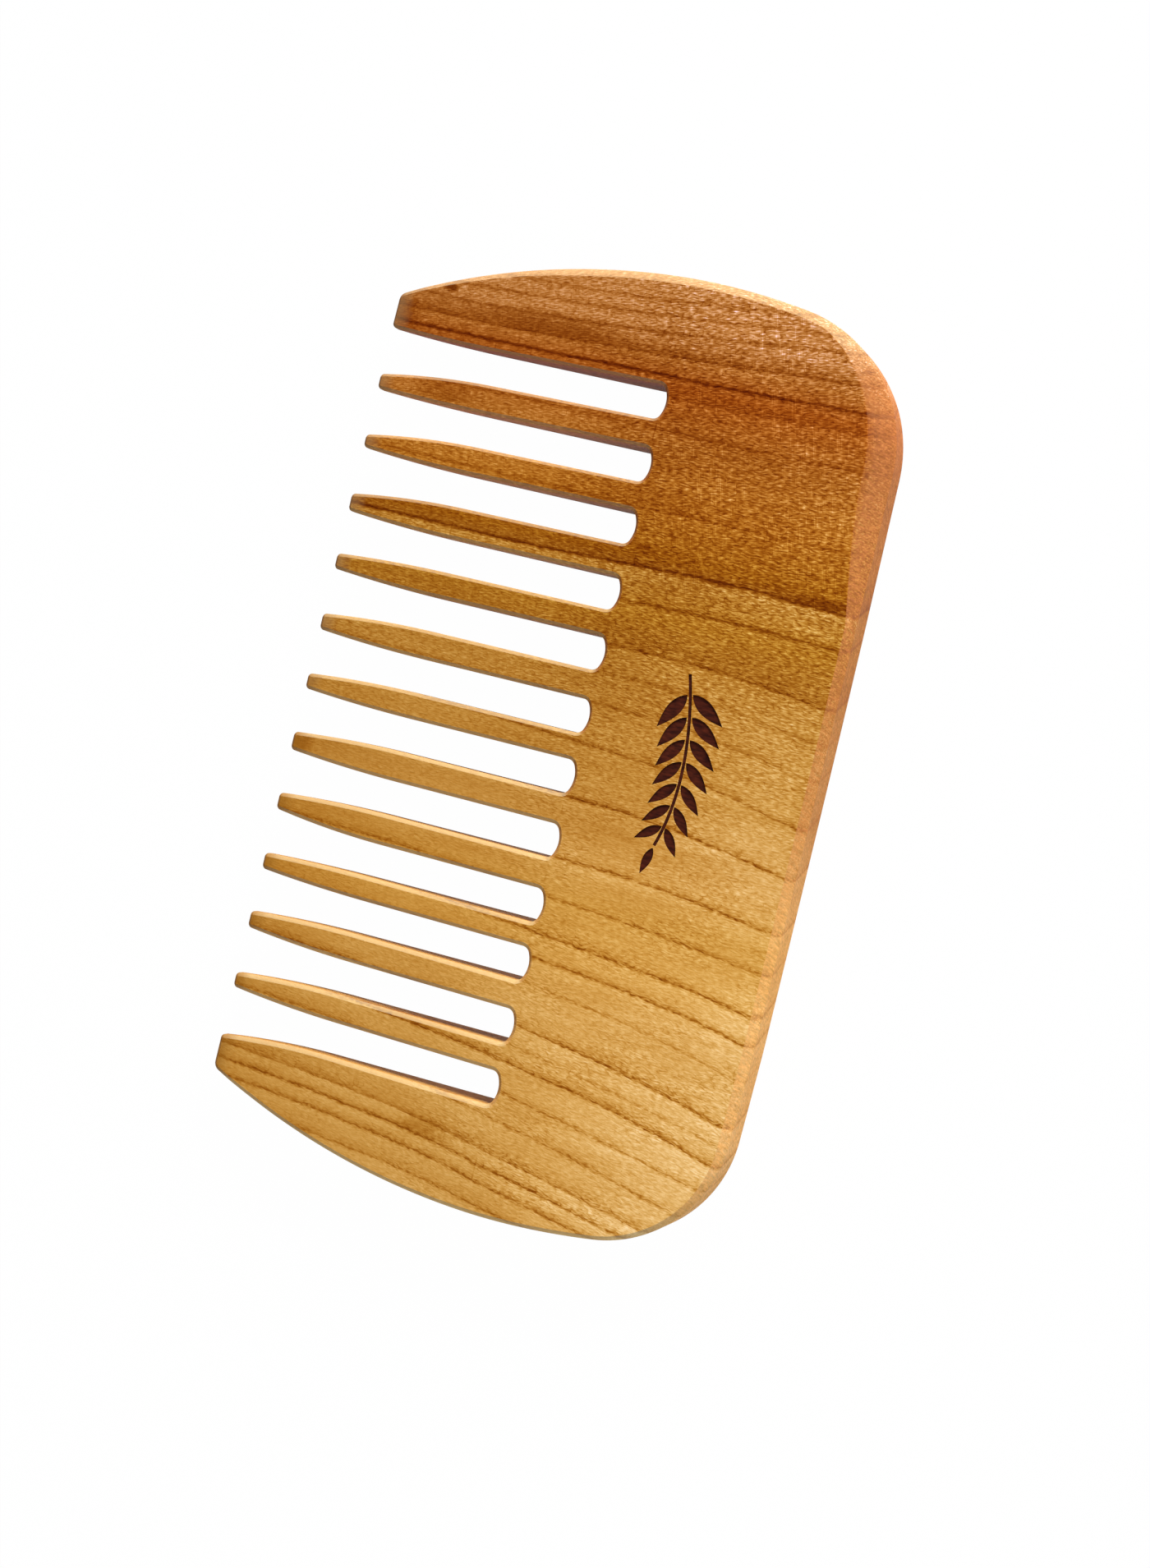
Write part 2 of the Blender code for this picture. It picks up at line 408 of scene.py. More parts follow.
def clamped(value):
    """The value, held between zero and one."""
    return value.math("MINIMUM", value.math("MAXIMUM", value, 0), 1)


def parts_of(bench, vector):
    """X, Y and Z of a vector."""
    split = bench.tree.nodes.new("ShaderNodeSeparateXYZ")
    bench.tree.links.new(vector.socket, split.inputs[0])
    return [Wire(bench, socket) for socket in split.outputs]


def place_parts(bench):
    """X, Y and Z of each point."""
    return parts_of(bench, bench.node("GeometryNodeInputPosition"))


# %% The slots, copied and widened towards the tips
def tapered_slots(bench, outline, places, taper_length):
    """Flat outlines of all the slots, widened towards the tips so that the teeth taper."""
    across, along, _ = place_parts(bench)
    outline = remember(bench, remember(bench, outline, "across", across), "along", along)
    copies = bench.node("GeometryNodeInstanceOnPoints", None, {"Points": places, "Instance": outline})
    slots = bench.node("GeometryNodeRealizeInstances", None, {"Geometry": copies})
    on_left = recall(bench, "across") < 0
    taper_top = taper_length + TOOTH_CORNER_RADIUS - TOOTH_LENGTH
    nearness = clamped((taper_top - recall(bench, "along")) / taper_length) ** 2
    on_right = 1 - on_left
    opening = on_right * recall(bench, "sanded_right") - on_left * recall(bench, "sanded_left")
    offset = bench.node("ShaderNodeCombineXYZ", None, {"X": opening * nearness})
    return bench.node("GeometryNodeSetPosition", None, {"Geometry": slots, "Offset": offset})


# %% The tree that cuts the comb
def comb_tree():
    """Board outline in, flat sawn comb out."""
    inputs = {
        "Slot outline": "NodeSocketObject",
        "Slot places": "NodeSocketObject",
        "Taper length": "NodeSocketFloat",
        "Board thickness": "NodeSocketFloat",
        "Cut height": "NodeSocketFloat",
        "Wood": "NodeSocketMaterial",
    }
    tree, bench, given = new_geometry_tree("saw_the_comb", inputs)
    board = prism(bench, given["Geometry"], given["Board thickness"])
    slot_outlines = object_mesh(bench, given["Slot outline"])
    slot_points = object_mesh(bench, given["Slot places"])
    flat_slots = tapered_slots(bench, slot_outlines, slot_points, given["Taper length"])
    slots = prism(bench, flat_slots, given["Cut height"])
    sawn = weld(bench, boolean(bench, "DIFFERENCE", board, slots), SHORTEST_EDGE)
    plain = bench.node("GeometryNodeRealizeInstances", None, {"Geometry": sawn})
    finished = bench.node("GeometryNodeSetMaterial", None, {"Geometry": plain, "Material": given["Wood"]})
    bench.node("NodeGroupOutput", None, {"Geometry": finished})
    return tree


BACK_THICKNESS = cad_box[1][2]
use_tree(comb, comb_tree(), {
    "Slot outline": slot_outline,
    "Slot places": slot_places,
    "Taper length": TOOTH_TAPER_LENGTH,
    "Board thickness": BACK_THICKNESS,
    "Cut height": BACK_THICKNESS + 2 * CUT_MARGIN,
    "Wood": fruitwood,
})


# %% Turn the result into a plain mesh
def settle(piece):
    """Replace a piece's modifiers by the plain mesh that they make."""
    graph = bpy.context.evaluated_depsgraph_get()
    finished = piece.evaluated_get(graph)
    made = bpy.data.meshes.new_from_object(finished, preserve_all_data_layers=True, depsgraph=graph)
    piece.modifiers.clear()
    piece.data = made
    return made


sawn_mesh = settle(comb)
print("faces of the flat comb:", len(sawn_mesh.polygons))

# %% [markdown]
# ## The wedge
#
# Seen from its end, the comb is a wedge: level at the back, and planed thinner towards the tips. So
# the thickness is a rule that depends only on the distance from the spine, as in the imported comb.

# %% The wedge's thickness
TOOTH_END_THICKNESS = 2.7 * MM
TIP_THICKNESS = 2 * MM
TIP_GRIND_LENGTH = 3 * MM
WEDGE_BLEND_TOP = SLOT_END_Y + 8 * MM
WEDGE_BLEND_LENGTH = 10 * MM
WEDGE_BLEND_STEPS = 10
WEDGE_BLEND_END = WEDGE_BLEND_TOP - WEDGE_BLEND_LENGTH
GRIND_TOP = TIP_Y + TIP_GRIND_LENGTH
PLANED_LENGTH = WEDGE_BLEND_LENGTH / 2 + WEDGE_BLEND_END - GRIND_TOP
WEDGE_SLOPE = (BACK_THICKNESS - TOOTH_END_THICKNESS) / 2 / PLANED_LENGTH


def half_thickness(y):
    """Half the board's thickness: level at the back, a blend, a straight wedge, the ground tips."""
    if y >= WEDGE_BLEND_TOP:
        return BACK_THICKNESS / 2
    if y >= WEDGE_BLEND_END:
        planed = WEDGE_SLOPE * (WEDGE_BLEND_TOP - y) ** 2 / (2 * WEDGE_BLEND_LENGTH)
        return BACK_THICKNESS / 2 - planed
    if y >= GRIND_TOP:
        return TOOTH_END_THICKNESS / 2 + WEDGE_SLOPE * (y - GRIND_TOP)
    grind = (TOOTH_END_THICKNESS - TIP_THICKNESS) / TIP_GRIND_LENGTH
    return TOOTH_END_THICKNESS / 2 - grind / 2 * (GRIND_TOP - y)


print("wedge slope, in degrees:", round(math.degrees(math.atan(WEDGE_SLOPE)), 2))

# %% [markdown]
# ## Sanded edges
#
# The slots are open at the tips, so the sawn comb has a single outline. Sanding it is drawn as copies
# of that outline, each a little further into the wood and nearer the face. A Bevel modifier would do
# for an even edge, but it folds on tight corners where its width changes. Here every point steps
# straight into the wood by a width of its own: little at the slots, more outside, most at one
# shoulder, which is worn to a wide facet.

# %% How far each edge is sanded
SLOT_EDGE_ROUND = 0.5 * MM
SLOT_EDGE_GAIN = 0.1 * MM
OUTER_EDGE_ROUND = 1.3 * MM
RIGHT_FACING_LOSS = 0.7 * MM
EDGE_ROUND_LIMIT_SHARE = 0.4
WORN_EDGE_WIDTH = 4.2 * MM
WORN_REACH = 24 * MM
WORN_FADE = 1.5
WORN_PLACE_SHARE = 0.7
WORN_CENTRE = (-WORN_PLACE_SHARE * HALF_LENGTH, SPINE_Y)
EDGE_STEPS = 6
EDGE_ROUNDNESS = 1.25
BESIDE_SLOTS = 2 * MM
ABOVE_SLOTS = 1.5 * MM
SLOTS_REACH_X = abs(slot_middles[0]) + SLOT_HALF_WIDTH + BESIDE_SLOTS
SLOTS_REACH_Y = SLOT_END_Y + ABOVE_SLOTS


def edge_round(place, inward):
    """Size of the sanding at a place of the outline, whose wood lies in the inward direction."""
    limit = EDGE_ROUND_LIMIT_SHARE * half_thickness(max(place.y, GRIND_TOP))
    if abs(place.x) < SLOTS_REACH_X and place.y < SLOTS_REACH_Y:
        return min(limit, SLOT_EDGE_ROUND + SLOT_EDGE_GAIN * place.x / HALF_LENGTH)
    size = min(limit, OUTER_EDGE_ROUND - RIGHT_FACING_LOSS * max(0, -inward.x))
    return size + worn_at(place) * (limit - size)


def worn_at(place):
    """How far the shoulder's wear has gone at a place, from none at zero to all of it at one."""
    away = math.dist(place, WORN_CENTRE) / WORN_REACH
    return max(0, 1 - away**2) ** WORN_FADE


def edge_width(place, size, is_upper):
    """How far the sanding reaches into the face. The worn shoulder is cut flatter, on one face."""
    return size + is_upper * worn_at(place) * max(0, WORN_EDGE_WIDTH - size)


# %% Copies of the outline, from the wall up to the face
def outline_of(mesh):
    """The corners of the sawn comb's upper face, in order, as flat points."""
    upper = max(mesh.polygons, key=lambda face: face.center.z * face.area)
    return [mesh.vertices[index].co.xy for index in upper.vertices]


def inward_directions(points):
    """For each point of the outline, the direction straight into the wood."""
    ahead = [(points[n] - points[n - 1]).normalized() for n in range(len(points))]
    along = [(ahead[n - 1] + ahead[n]).normalized() for n in range(len(points))]
    return [Vector((-step.y, step.x)) for step in along[1:] + along[:1]]


def sanded_rings(points, is_upper):
    """Copies of the outline from the wall to the face, each point with its depth below the face."""
    directions = inward_directions(points)
    sizes = [edge_round(point, inward) for point, inward in zip(points, directions)]
    widths = [edge_width(point, size, is_upper) for point, size in zip(points, sizes)]
    steps = list(zip(points, directions, widths))
    rings = []
    for step in range(EDGE_STEPS + 1):
        turn = QUARTER_TURN * step / EDGE_STEPS
        inset = 1 - math.cos(turn) ** (2 / EDGE_ROUNDNESS)
        depth = 1 - math.sin(turn) ** (2 / EDGE_ROUNDNESS)
        moved = [point + inward * width * inset for point, inward, width in steps]
        rings.append([(place.x, place.y, size * depth) for place, size in zip(moved, sizes)])
    return rings


def solid_from_rings(name, lower, upper):
    """A closed mesh with the rings as the rims of its lower and upper face."""
    raised = [[(x, y, BACK_THICKNESS - depth) for x, y, depth in ring] for ring in upper]
    layers = lower[::-1] + raised
    count = len(upper[0])
    points = [place for layer in layers for place in layer]
    following = [(n, (n + 1) % count) for n in range(count)]
    faces = [
        (base + n, base + after, base + count + after, base + count + n)
        for base in range(0, count * (len(layers) - 1), count)
        for n, after in following
    ]
    faces.append(range(count - 1, -1, -1))
    faces.append(range(len(points) - count, len(points)))
    mesh = bpy.data.meshes.new(name)
    mesh.from_pydata(points, [], faces)
    mesh.materials.append(fruitwood)
    return mesh


sawn_outline = outline_of(sawn_mesh)
lower_rings = sanded_rings(sawn_outline, False)
upper_rings = sanded_rings(sawn_outline, True)
comb.data = solid_from_rings("sanded_comb", lower_rings, upper_rings)
print("faces of the sanded comb:", len(comb.data.polygons))

# %% [markdown]
# The wedge could be a second cut, but two cuts that nearly meet leave slivers. So both faces are
# scored along every bend of the wedge, and then each point is moved by what the plane takes off there.


# %% Score the faces and plane them
def score(work):
    """Cut both faces along each bend of the wedge."""
    steps = range(WEDGE_BLEND_STEPS + 1)
    bends = [WEDGE_BLEND_END + WEDGE_BLEND_LENGTH * step / WEDGE_BLEND_STEPS for step in steps]
    for bend in [GRIND_TOP] + bends:
        everything = work.verts[:] + work.edges[:] + work.faces[:]
        place = {"plane_co": (0, bend, 0), "plane_no": (0, 1, 0)}
        bmesh.ops.bisect_plane(work, geom=everything, dist=SCORE_SNAP, **place)


def plane(work):
    """Move every point by what the plane takes off at its place."""
    middle = BACK_THICKNESS / 2
    for corner in work.verts:
        side = 1 if corner.co.z > middle else -1
        corner.co.z -= side * (middle - half_thickness(corner.co.y))


SCORE_SNAP = 0.05 * MM
work = bmesh.new()
work.from_mesh(comb.data)
score(work)
plane(work)
work.to_mesh(comb.data)
work.free()
print("faces of the planed comb:", len(comb.data.polygons))

# %% [markdown]
# ## The burnt ornament
#
# The middle of the back carries a mark that was burnt a little way into the wood. Here it is a
# plain sprig of leaves. It could be painted in the wood's material, but a burnt mark has an edge
# that catches the light. So one leaf is drawn, copied in pairs along a stem, and sunk into the face.

# %% One leaf
LEAF_STALK = 0.55 * MM
LEAF_LENGTH = 6.2 * MM
LEAF_WIDTH = 2 * MM
LEAF_BELLY_SHARE = 0.8
LEAF_STEPS = 14


def leaf_points():
    """A pointed leaf along X. It starts a stalk's length from zero, widest near its foot."""
    shares = [step / LEAF_STEPS for step in range(LEAF_STEPS + 1)]
    half_width = [LEAF_WIDTH / 2 * math.sin(math.pi * share**LEAF_BELLY_SHARE) for share in shares]
    along = [LEAF_STALK + LEAF_LENGTH * share for share in shares]
    one_side = list(zip(along, [-width for width in half_width]))
    other_side = list(zip(along, half_width))
    return one_side + other_side[-2:0:-1]


leaf = flat_face("leaf", [(x, y, 0) for x, y in leaf_points()])
print("leaf outline points:", len(leaf.data.vertices))

# %% [markdown]
# The stem is a gentle bow. Points are spread along it, and two leaves grow from each point, leaning
# forward on either side. The leaves get smaller towards the end, where one more leaf closes the sprig.

# %% The tree that burns the sprig
SPRIG_START = (-13.6 * MM, 17.6 * MM)
SPRIG_BEND = (0.5 * MM, 21.6 * MM)
SPRIG_END = (10.6 * MM, 18.4 * MM)
SPRIG_DEPTH = 0.18 * MM
STEM_WIDTH = 0.45 * MM
STEM_STEPS = 24
BARE_STEM_SHARE = 0.1
LEAF_PAIRS = 7
LEAF_LEAN = math.radians(44)
LEAF_SHRINK = 0.05
SMOOTH_ANGLE = math.radians(24)


def stem_curve(bench, height):
    """The middle line of the stem, at a height."""
    ends = {"Start": SPRIG_START, "Middle": SPRIG_BEND, "End": SPRIG_END}
    places = {
        name: bench.node("ShaderNodeCombineXYZ", None, {"X": place[0], "Y": place[1], "Z": height})
        for name, place in ends.items()
    }
    return bench.node("GeometryNodeCurveQuadraticBezier", None, {**places, "Resolution": STEM_STEPS})


def leaves_on(bench, points, chosen, outline, lean):
    """A leaf on each chosen point, turned from the stem by the lean, smaller from point to point."""
    rotation = bench.node("ShaderNodeCombineXYZ", None, {"Z": recall(bench, "heading") + lean})
    size = 1 - LEAF_SHRINK * bench.node("GeometryNodeInputIndex")
    spots = {"Points": points, "Selection": chosen}
    leaves = {"Instance": outline, "Rotation": rotation, "Scale": size}
    return bench.node("GeometryNodeInstanceOnPoints", None, {**spots, **leaves})


def flat_leaves(bench, given, floor_z):
    """The flat leaves: pairs along the stem and one more at its end."""
    tangent = bench.node("GeometryNodeInputTangent")
    tangent_x, tangent_y, _ = parts_of(bench, tangent)
    heading = tangent.math("ARCTAN2", tangent_y, tangent_x)
    leafy = {"Curve": stem_curve(bench, floor_z), "Start": BARE_STEM_SHARE}
    line = bench.node("GeometryNodeTrimCurve", None, leafy)
    spots = bench.node("GeometryNodeResampleCurve", None, {"Curve": line, "Count": given["Pairs"] + 1})
    spots = remember(bench, spots, "heading", heading)
    points = bench.node("GeometryNodeCurveToPoints", {"mode": "EVALUATED"}, {"Curve": spots})
    outline = object_mesh(bench, given["Leaf"])
    paired = bench.node("GeometryNodeInputIndex") < given["Pairs"]
    left = leaves_on(bench, points, paired, outline, given["Lean"])
    right = leaves_on(bench, points, paired, outline, given["Lean"] * -1)
    end = leaves_on(bench, points, 1 - paired, outline, 0)
    leaves = joined(bench, left, right, end)
    return bench.node("GeometryNodeRealizeInstances", None, {"Geometry": leaves})


def solid_stem(bench, depth):
    """A thin closed bar along the stem, half of it inside the wood."""
    size = {"Width": STEM_WIDTH, "Height": depth * 2}
    section = bench.node("GeometryNodeCurvePrimitiveQuadrilateral", None, size)
    curve = stem_curve(bench, BACK_THICKNESS)
    inputs = {"Curve": curve, "Profile Curve": section, "Fill Caps": True}
    return bench.node("GeometryNodeCurveToMesh", None, inputs)


def sprig_tree():
    """Comb in, comb with a sunken sprig out."""
    inputs = {
        "Leaf": "NodeSocketObject",
        "Pairs": "NodeSocketInt",
        "Lean": "NodeSocketFloat",
        "Depth": "NodeSocketFloat",
        "Wood": "NodeSocketMaterial",
        "Burnt wood": "NodeSocketMaterial",
    }
    tree, bench, given = new_geometry_tree("burn_the_sprig", inputs)
    floor_z = BACK_THICKNESS - given["Depth"]
    leaves = prism(bench, flat_leaves(bench, given, floor_z), given["Depth"] * 2)
    sprig = joined(bench, leaves, solid_stem(bench, given["Depth"]))
    hot = {"Geometry": sprig, "Material": given["Burnt wood"]}
    burnt = bench.node("GeometryNodeSetMaterial", None, hot)
    cut = boolean(bench, "DIFFERENCE", given["Geometry"], burnt)
    bend = bench.node("GeometryNodeInputMeshEdgeAngle", None, None, "Unsigned Angle")
    all_smooth = {"Geometry": cut, "Shade Smooth": True}
    faces = bench.node("GeometryNodeSetShadeSmooth", {"domain": "FACE"}, all_smooth)
    not_sharp = {"Geometry": faces, "Shade Smooth": bend < SMOOTH_ANGLE}
    edges = bench.node("GeometryNodeSetShadeSmooth", {"domain": "EDGE"}, not_sharp)
    plain = bench.node("GeometryNodeRealizeInstances", None, {"Geometry": edges})
    in_wood = bench.node("GeometryNodeMaterialSelection", None, {"Material": given["Wood"]})
    wood_only = {"Geometry": plain, "Selection": in_wood, "Material": given["Wood"]}
    finished = bench.node("GeometryNodeSetMaterial", None, wood_only)
    bench.node("NodeGroupOutput", None, {"Geometry": finished})
    return tree


use_tree(comb, sprig_tree(), {
    "Leaf": leaf,
    "Pairs": LEAF_PAIRS,
    "Lean": LEAF_LEAN,
    "Depth": SPRIG_DEPTH,
    "Wood": fruitwood,
    "Burnt wood": burnt_wood,
})
level = comb.modifiers.new("level_shading", "WEIGHTED_NORMAL")
level.keep_sharp = True

# %% The dressed comb as a plain mesh
made = settle(comb)
for guide in (slot_outline, slot_places, leaf):
    bpy.data.objects.remove(guide)
print("faces:", len(made.polygons), "materials:", [material.name for material in made.materials])

# %% [markdown]
# ## The wood's own places
#
# Grain belongs to the board and not to the comb's surface, so it is drawn from the comb's own
# coordinates, in millimetres. An unwrapped picture of wood would stretch at the rounded edges.
# Here the lines run over an edge and down the side, as they do in a real board.

# %% Places and noise
SMOOTH = 0
SIMPLE = 1
SOFT = 2
ROUGH = 3
NOISE_MIDDLE = 0.5


def places_in_mm(bench):
    """X, Y and Z in the comb's own coordinates, in millimetres."""
    coordinates = bench.node("ShaderNodeTexCoord", None, None, "Object")
    scaled = {0: coordinates, "Scale": 1 / MM}
    return parts_of(bench, bench.node("ShaderNodeVectorMath", {"operation": "SCALE"}, scaled))


def noise(bench, place, density, detail=SOFT):
    """Noise between zero and one. The density is how many patches lie in a millimetre of X, Y and Z."""
    dense = {axis: part * amount for axis, part, amount in zip("XYZ", place, density)}
    vector = bench.node("ShaderNodeCombineXYZ", None, dense)
    return bench.node("ShaderNodeTexNoise", None, {"Vector": vector, "Scale": 1, "Detail": detail})


def swing(bench, place, density, detail=SOFT):
    """The same noise, moved to lie round zero."""
    return noise(bench, place, density, detail) - NOISE_MIDDLE


def rise(bench, value, start, end):
    """Zero up to the start and one past the end, in a straight line between them."""
    inputs = {"Value": value, "From Min": start, "From Max": end}
    return bench.node("ShaderNodeMapRange", None, inputs)


def between(share, pair):
    """The pair's first number where the share is zero, its second where it is one."""
    first, second = pair
    return first + share * (second - first)


def blend(bench, share, first, second):
    """The first colour where the share is zero, the second where it is one."""
    colours = {0: share, 6: first, 7: second}
    return bench.node("ShaderNodeMix", {"data_type": "RGBA"}, colours, 2)


def shade(bench, colour, amount):
    """The colour, multiplied by an amount."""
    inputs = {0: colour, "Scale": amount}
    return bench.node("ShaderNodeVectorMath", {"operation": "SCALE"}, inputs)


# %% [markdown]
# ## Growth rings
#
# Each year the tree lays down pale wood and then darker wood, which ends at a thin dark line. On the
# board these lines run from the teeth to the spine. They lie closer and lean further towards the
# right end. A wave texture would space them evenly, so each line has a place of its own here.

# %% Where the rings run
RINGS = (
    # place at the slot ends in mm, lean and bow over the back, width of the dark wood, its depth,
    # depth of the line
    (-63.8, -2.6, 0.5, 1.2, 0.1, 0.3),
    (-61.6, -2.6, 0.5, 1.4, 0.15, 0.35),
    (-59.2, -2.6, 0.0, 1.6, 0.1, 0.45),
    (-55.9, -1.4, 0.0, 3.4, 0.5, 0.2),
    (-53.1, -0.4, 0.0, 0.9, 0.4, 0.9),
    (-50.2, -0.4, 0.0, 3.2, 0.35, 0.1),
    (-45.6, 0.0, 0.0, 1.6, 0.15, 0.25),
    (-34.6, 0.0, 0.0, 1.2, 0.1, 0.3),
    (-26.5, -1.5, 1.9, 5.0, 0.45, 1.0),
    (-21.5, -1.2, 1.5, 2.4, 0.2, 0.6),
    (-14.9, -1.2, 3.0, 6, 0.35, 0.6),
    (-11.0, 0.0, 2.8, 1.2, 0.1, 0.25),
    (-6.6, 0.5, 2.8, 1.4, 0.1, 0.3),
    (-0.6, 1.1, 3.0, 1.8, 0.25, 0.45),
    (7.1, 0.6, 2.8, 1.8, 0.35, 0.85),
    (15.7, 0.0, 2.7, 1.8, 0.3, 0.8),
    (21.3, 1.7, 1.2, 1.4, 0.25, 0.5),
    (26.7, 1.6, 1.7, 1.6, 0.35, 0.8),
    (30.2, 0.9, 2.8, 1.5, 0.3, 0.75),
    (33.9, 2.1, 2.8, 1.0, 0.1, 0.35),
    (40.0, 3.2, 2.4, 2.2, 0.35, 0.8),
    (42.8, 4.3, 1.2, 1.0, 0.1, 0.3),
    (45.4, 3.0, 2.8, 1.8, 0.4, 0.85),
    (49.6, 4.5, 1.0, 1.4, 0.2, 0.5),
    (53.6, 4.2, 2.2, 1.2, 0.2, 0.5),
    (58.3, 4.4, 1.5, 2.2, 0.4, 0.15),
    (60.5, 4.4, 1.5, 1.4, 0.4, 0.8),
    (62.9, 4.6, 1.0, 1.6, 0.35, 0.6),
    (66.0, 4.0, 1.0, 1.4, 0.2, 0.4),
)
BACK_DEPTH_MM = 32
TOOTH_LEAN_LIMIT = 0.7
TOOTH_LEAN_FADE = 0.55
SLANT_DOWN = 0.35
WAVER_DENSITY = (0.05, 0.06, 0.05)
WAVER = 0.7
JITTER_DENSITY = (1.4, 1.1, 1.2)
JITTER = 0.5


def ring_places(bench, place):
    """Distance across the rings, how far their lean has gone at this height, and their bow."""
    x, y, z = place
    above = (y - SLOT_END_Y / MM) / BACK_DEPTH_MM
    on_back = above.math("MAXIMUM", above, 0)
    in_teeth = above.math("MINIMUM", above, 0)
    faded = 1 - in_teeth.math("EXPONENT", in_teeth / TOOTH_LEAN_FADE)
    height = on_back - faded * TOOTH_LEAN_LIMIT
    waver = swing(bench, place, WAVER_DENSITY) * WAVER
    jitter = swing(bench, place, JITTER_DENSITY) * JITTER
    across = x + SLANT_DOWN * (BACK_THICKNESS / MM - z) + waver + jitter
    return across, height, on_back**2


# %% [markdown]
# The lines are thin in some places and wide in others, and whole stretches of them are fainter. So
# soft noise sets the width of every line, and another noise sets how strong all the rings are.

# %% How deep each ring is
LINE_WIDTH = 0.55
LEAST_LINE_SHARE = 0.25
LINE_DENSITY = (0.5, 0.28, 0.4)
LATE_EDGE = 0.1
PALE_WIDTH = 2.4
STRENGTH_DENSITY = (0.3, 0.2, 0.3)
FAINT_BELOW = 0.3
STRONG_ABOVE = 0.6
LEAST_RING_STRENGTH = 0.6
RING_STRENGTH_RANGE = 0.55


def ring_shades(bench, place):
    """How deep the late wood is, the thin line that ends it, and the pale wood that follows."""
    across, height, bow = ring_places(bench, place)
    line_width = LINE_WIDTH * (LEAST_LINE_SHARE + noise(bench, place, LINE_DENSITY))
    late = 0
    line = 0
    pale = 0
    for start, lean, bend, width, depth, line_depth in RINGS:
        beyond = across - height * lean - bow * bend - start
        deepening = rise(bench, beyond, -width, 0) ** 2
        ended = rise(bench, beyond, LATE_EDGE, 0)
        late = beyond.math("MAXIMUM", late, deepening * ended * depth)
        near = 1 - clamped(beyond.math("ABSOLUTE", beyond) / line_width)
        line = beyond.math("MAXIMUM", line, near * line_depth)
        fresh = rise(bench, beyond, PALE_WIDTH, 0) * (beyond > 0)
        pale = beyond.math("MAXIMUM", pale, fresh * depth)
    stretches = rise(bench, noise(bench, place, STRENGTH_DENSITY), FAINT_BELOW, STRONG_ABOVE)
    strength = LEAST_RING_STRENGTH + RING_STRENGTH_RANGE * stretches
    return late * strength, clamped(line * strength), pale * strength


print("growth rings:", len(RINGS))

# %% [markdown]
# ## Colour along the board
#
# The left end comes from near the heart of the tree and is red-brown. The right end is the younger,
# golden wood. A two-colour mix would turn evenly, so a ramp with a stop for each change follows the
# board.

# %% Base colours
TONES = (
    # place along the board in mm, and the colour there
    (-66, (0.55, 0.22, 0.055)),
    (-60, (0.54, 0.21, 0.05)),
    (-56, (0.42, 0.13, 0.016)),
    (-52, (0.36, 0.08, 0.005)),
    (-44, (0.39, 0.115, 0.010)),
    (-36, (0.42, 0.13, 0.009)),
    (-28, (0.36, 0.11, 0.004)),
    (-25.5, (0.46, 0.18, 0.018)),
    (-20, (0.43, 0.16, 0.010)),
    (-7, (0.55, 0.245, 0.036)),
    (3, (0.58, 0.265, 0.042)),
    (14, (0.71, 0.36, 0.08)),
    (21, (0.67, 0.325, 0.055)),
    (29, (0.72, 0.36, 0.07)),
    (36, (0.77, 0.41, 0.10)),
    (66, (0.77, 0.41, 0.10)),
)
BOARD_START = -70
BOARD_END = 70


def base_colour(bench, along):
    """The clear wood's colour, from red-brown to gold."""
    share = rise(bench, along, BOARD_START, BOARD_END)
    length = BOARD_END - BOARD_START
    stops = [((place - BOARD_START) / length, colour) for place, colour in TONES]
    return bench.node("ShaderNodeValToRGB", {"stops": stops}, {"Fac": share})


print("colour stops:", len(TONES))

# %% [markdown]
# ## One pigment
#
# Dark and pale places in the same board differ by how much of one pigment they hold. It takes blue
# light first, then green, then red, so darker wood is also redder. A mix with a brown and a cream
# would turn the wood dull. So every mark only adds to or takes from one number, the tone, and the
# tone then multiplies each channel by its own power.

# %% The tone as a colour
GREEN_POWER = 1.7
BLUE_POWER = 3.6


def toned(bench, colour, tone):
    """The colour with less pigment where the tone is above zero, and more where it is below."""
    red = tone.math("EXPONENT", tone)
    green = tone.math("EXPONENT", tone * GREEN_POWER)
    blue = tone.math("EXPONENT", tone * BLUE_POWER)
    share = bench.node("ShaderNodeCombineXYZ", None, {"X": red, "Y": green, "Z": blue})
    return bench.node("ShaderNodeVectorMath", {"operation": "MULTIPLY"}, {0: colour, 1: share})


# %% [markdown]
# ## Fibres
#
# Close up the wood is covered in short dark and pale strokes that run with the teeth and waver a
# little. They lean one way in the red wood and the other way in the golden wood. Noise with many
# octaves would look cloudy, so one octave is stretched along the teeth, and its level lines make
# the strokes.

# %% Strokes and pores
STROKE_GAP = 0.38
STROKE_LENGTH = 1.4
STROKE_THINNESS = 0.055
STROKE_WAVE_DENSITY = (0.9, 0.9, 0.9)
STROKE_WAVE = 0.22
RED_LEAN = 0.16
RED_LEAN_START = -22
RED_LEAN_FULL = -58
GOLD_LEAN = 0.12
GOLD_LEAN_START = 5
GOLD_LEAN_FULL = 45
FINE_GAP = 0.16
FINE_LENGTH = 0.8
PORE_GAP = 0.12
PORE_LENGTH = 0.24
PORE_START = 0.55
PORE_FULL = 0.8


def fibre_noise(bench, place, gap, length):
    """Noise whose patches are as wide as the gap and as long as the length."""
    return noise(bench, place, (1 / gap, 1 / length, 1 / gap), SMOOTH)


